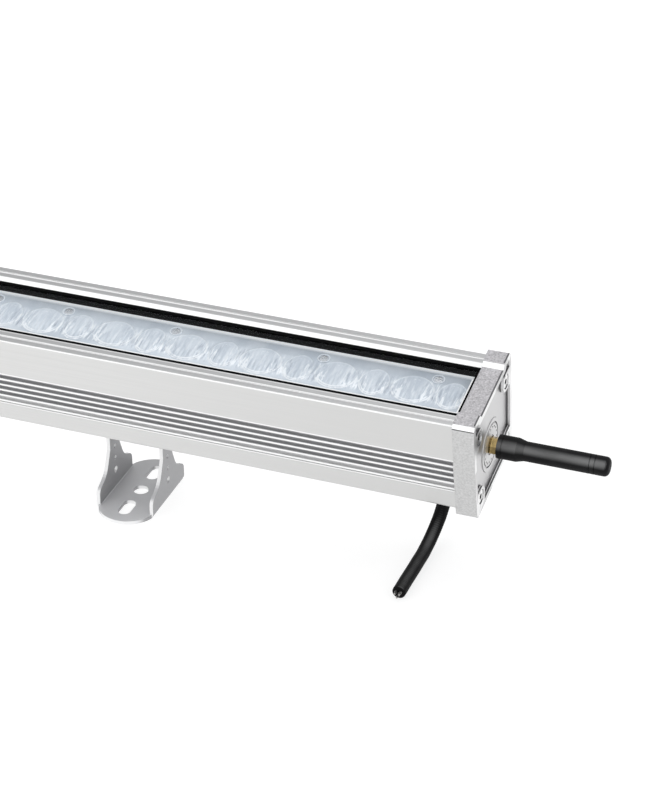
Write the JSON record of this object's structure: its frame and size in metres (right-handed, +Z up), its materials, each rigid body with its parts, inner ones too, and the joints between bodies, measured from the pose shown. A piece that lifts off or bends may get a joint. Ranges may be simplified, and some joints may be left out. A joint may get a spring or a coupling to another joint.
{
  "type": "outdoor wall washer light",
  "caption": "Linear aluminium LED wall washer with lenses under glass, ribbed sides, a short antenna on one end and two tilting U brackets that slide in a T slot.",
  "frame": {"origin": "midway between the centre holes of the two brackets, on the underside of their feet", "axes": "+X along the bar towards the antenna, -Y to the front that the lamp leans to, +Z up from the ground"},
  "size_m": [1.0598, 0.0798, 0.1178],
  "materials": {
    "anodised_aluminium": "satin anodised extrusion",
    "cast_aluminium": "bead-blasted casting",
    "painted_steel": "light grey powder coat",
    "stainless_steel": "stainless fastener",
    "gilt_brass": "gilt, machined",
    "black_rubber": "silicone seal",
    "antenna_rubber": "satin moulded rubber",
    "cable_rubber": "satin cable sheath",
    "black_plastic": "moulded nylon",
    "clear_glass": "toughened clear glass",
    "clear_plastic": "moulded clear acrylic",
    "white_board": "white solder mask",
    "green_board": "green solder mask",
    "led_yellow": "phosphor and clear dome",
    "red_lead": "lead insulation",
    "copper": "tinned copper strands"
  },
  "bodies": {
    "lamp": {"housing": "anodised_aluminium", "right_end_cap": "cast_aluminium", "left_end_cap": "cast_aluminium", "right_cap_gasket": "black_rubber", "left_cap_gasket": "black_rubber", "right_cap_screws": "stainless_steel", "left_cap_screws": "stainless_steel", "face_disc": "cast_aluminium", "front_glass": "clear_glass", "glass_seal": "black_rubber", "right_lens_panel": "clear_plastic", "left_lens_panel": "clear_plastic", "lens_screws": "stainless_steel", "right_led_board": "white_board", "left_led_board": "white_board", "right_leds": "led_yellow", "left_leds": "led_yellow", "driver_case": "anodised_aluminium", "driver_potting": "black_plastic", "radio_board": "green_board", "radio_shield": "stainless_steel", "antenna_lead": "black_plastic", "antenna_socket": "gilt_brass", "socket_nut": "gilt_brass", "socket_washer": "stainless_steel", "gland_body": "black_plastic", "gland_seal": "black_rubber", "gland_nut": "black_plastic", "gland_lock_nut": "black_plastic", "supply_lead": "cable_rubber", "led_leads": "red_lead", "supply_cable": "cable_rubber", "cable_cores": "copper"},
    "antenna": {"antenna_sleeve": "antenna_rubber", "antenna_core": "gilt_brass"},
    "coupling_nut": {"antenna_nut": "gilt_brass"},
    "right_clamp": {"right_hanger": "stainless_steel", "right_slot_bolt": "stainless_steel", "right_slot_nut": "stainless_steel", "right_pivot_bolts": "stainless_steel", "right_pivot_washers": "black_plastic", "right_pivot_nuts": "stainless_steel"},
    "right_foot": {"right_bracket": "painted_steel"},
    "left_clamp": {"left_hanger": "stainless_steel", "left_slot_bolt": "stainless_steel", "left_slot_nut": "stainless_steel", "left_pivot_bolts": "stainless_steel", "left_pivot_washers": "black_plastic", "left_pivot_nuts": "stainless_steel"},
    "left_foot": {"left_bracket": "painted_steel"}
  },
  "joints": [
    {"name": "right_slide", "type": "slide", "parent": "lamp", "child": "right_clamp", "axis": [1, 0, 0], "range_m": [-0.25, 0.1]},
    {"name": "right_tilt", "type": "hinge", "parent": "right_clamp", "child": "right_foot", "pos_m": [0.3015, 0, 0.042], "axis": [1, 0, 0], "range_deg": [-70, 90]},
    {"name": "left_slide", "type": "slide", "parent": "lamp", "child": "left_clamp", "axis": [1, 0, 0], "range_m": [-0.1, 0.25]},
    {"name": "left_tilt", "type": "hinge", "parent": "left_clamp", "child": "left_foot", "pos_m": [-0.3015, 0, 0.042], "axis": [1, 0, 0], "range_deg": [-70, 90]},
    {"name": "antenna_draw", "type": "slide", "parent": "lamp", "child": "antenna", "axis": [1, 0, 0], "range_m": [0, 0.00352]},
    {"name": "nut_turn", "type": "hinge", "parent": "antenna", "child": "coupling_nut", "pos_m": [0.498, -0.00623, 0.07664], "axis": [1, 0, 0], "range_deg": [0, 1800]}
  ],
  "couplings": [
    {"joint": "left_tilt", "follows": "right_tilt", "ratio": 1},
    {"joint": "nut_turn", "follows": "antenna_draw", "rad_per_m": 8904.8}
  ]
}
